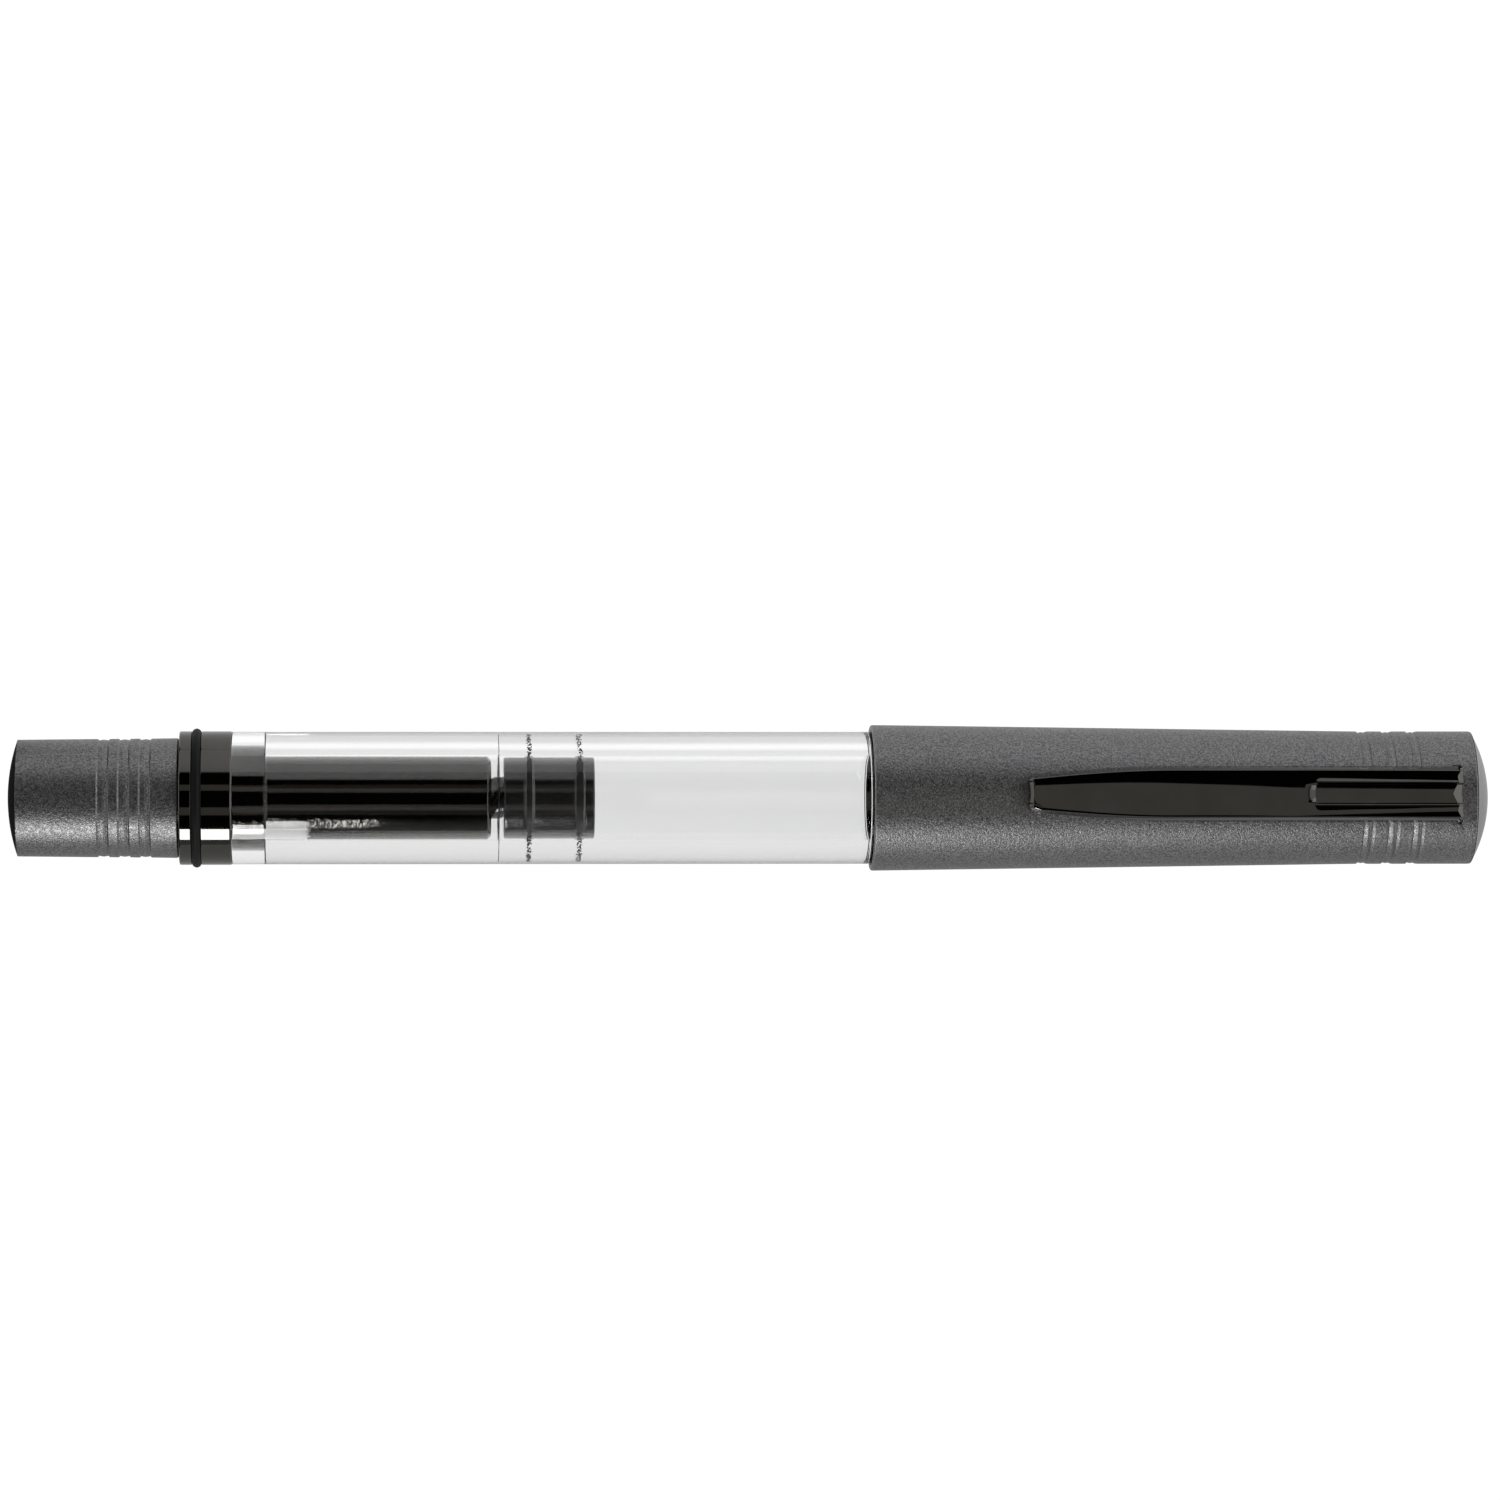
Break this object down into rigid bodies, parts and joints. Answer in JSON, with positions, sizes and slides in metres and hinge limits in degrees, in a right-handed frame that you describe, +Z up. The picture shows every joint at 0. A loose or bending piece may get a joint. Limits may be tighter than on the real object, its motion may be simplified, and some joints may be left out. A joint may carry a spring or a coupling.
{
  "type": "fountain pen",
  "caption": "Capped piston-filling fountain pen with a clear barrel, a turning filling knob, a pull-off cap and a sprung pocket clip.",
  "frame": {"origin": "centre of the bounding box's underside: below the middle of the capped pen, where the cap's mouth touches the surface it lies on", "axes": "+X along the pen from the filling knob to the cap's domed end, +Z up through the clip"},
  "size_m": [0.139, 0.0136, 0.0156],
  "materials": {
    "blasted_gunmetal": "bead-blasted satin gunmetal",
    "black_chrome": "polished black chrome",
    "end_disc_black": "polished",
    "finial_satin": "satin",
    "clear_acrylic": "polished clear acrylic",
    "seal_rubber": "moulded",
    "mechanism_steel": "turned",
    "nut_brass": "turned",
    "black_plastic": "moulded",
    "rod_plastic": "moulded",
    "nib_steel": "polished",
    "point_alloy": "polished"
  },
  "bodies": {
    "pen_barrel": {"rear_collar": "black_chrome", "posting_ring": "seal_rubber", "thrust_washer": "mechanism_steel", "mechanism_sleeve": "black_chrome", "guide_bush": "rod_plastic", "barrel": "clear_acrylic", "clutch_ring": "black_chrome", "section": "black_plastic", "section_oring": "seal_rubber", "nib_housing": "black_plastic", "nib": "nib_steel", "nib_point": "point_alloy", "feed": "rod_plastic"},
    "filling_knob": {"knob": "blasted_gunmetal", "knob_end_disc": "end_disc_black", "knob_screw": "mechanism_steel", "spindle": "mechanism_steel", "drive_nut": "nut_brass", "spindle_oring": "seal_rubber"},
    "piston": {"piston_rod": "rod_plastic", "piston_head": "seal_rubber", "rear_seal": "seal_rubber", "front_seal": "seal_rubber"},
    "cap": {"cap_shell": "blasted_gunmetal", "cap_clutch": "mechanism_steel", "inner_cap": "black_plastic", "cap_plug": "mechanism_steel", "finial": "finial_satin"},
    "pocket_clip": {"clip": "black_chrome"}
  },
  "joints": [
    {"name": "knob_turn", "type": "hinge", "parent": "pen_barrel", "child": "filling_knob", "pos_m": [-0.0611, 0, 0.00685], "axis": [-1, 0, 0], "range_deg": [0, 1440]},
    {"name": "piston_slide", "type": "slide", "parent": "pen_barrel", "child": "piston", "axis": [1, 0, 0], "range_m": [0, 0.0261]},
    {"name": "cap_pull", "type": "slide", "parent": "pen_barrel", "child": "cap", "axis": [1, 0, 0], "range_m": [0, 0.055]},
    {"name": "clip_flex", "type": "hinge", "parent": "cap", "child": "pocket_clip", "pos_m": [0.06585, 0, 0.01245], "axis": [0, 1, 0], "range_deg": [0, 4], "stiffness_Nm_per_rad": 1.5, "springref_deg": -1.15}
  ],
  "couplings": [
    {"joint": "piston_slide", "follows": "knob_turn", "m_per_rad": 0.0010345}
  ]
}
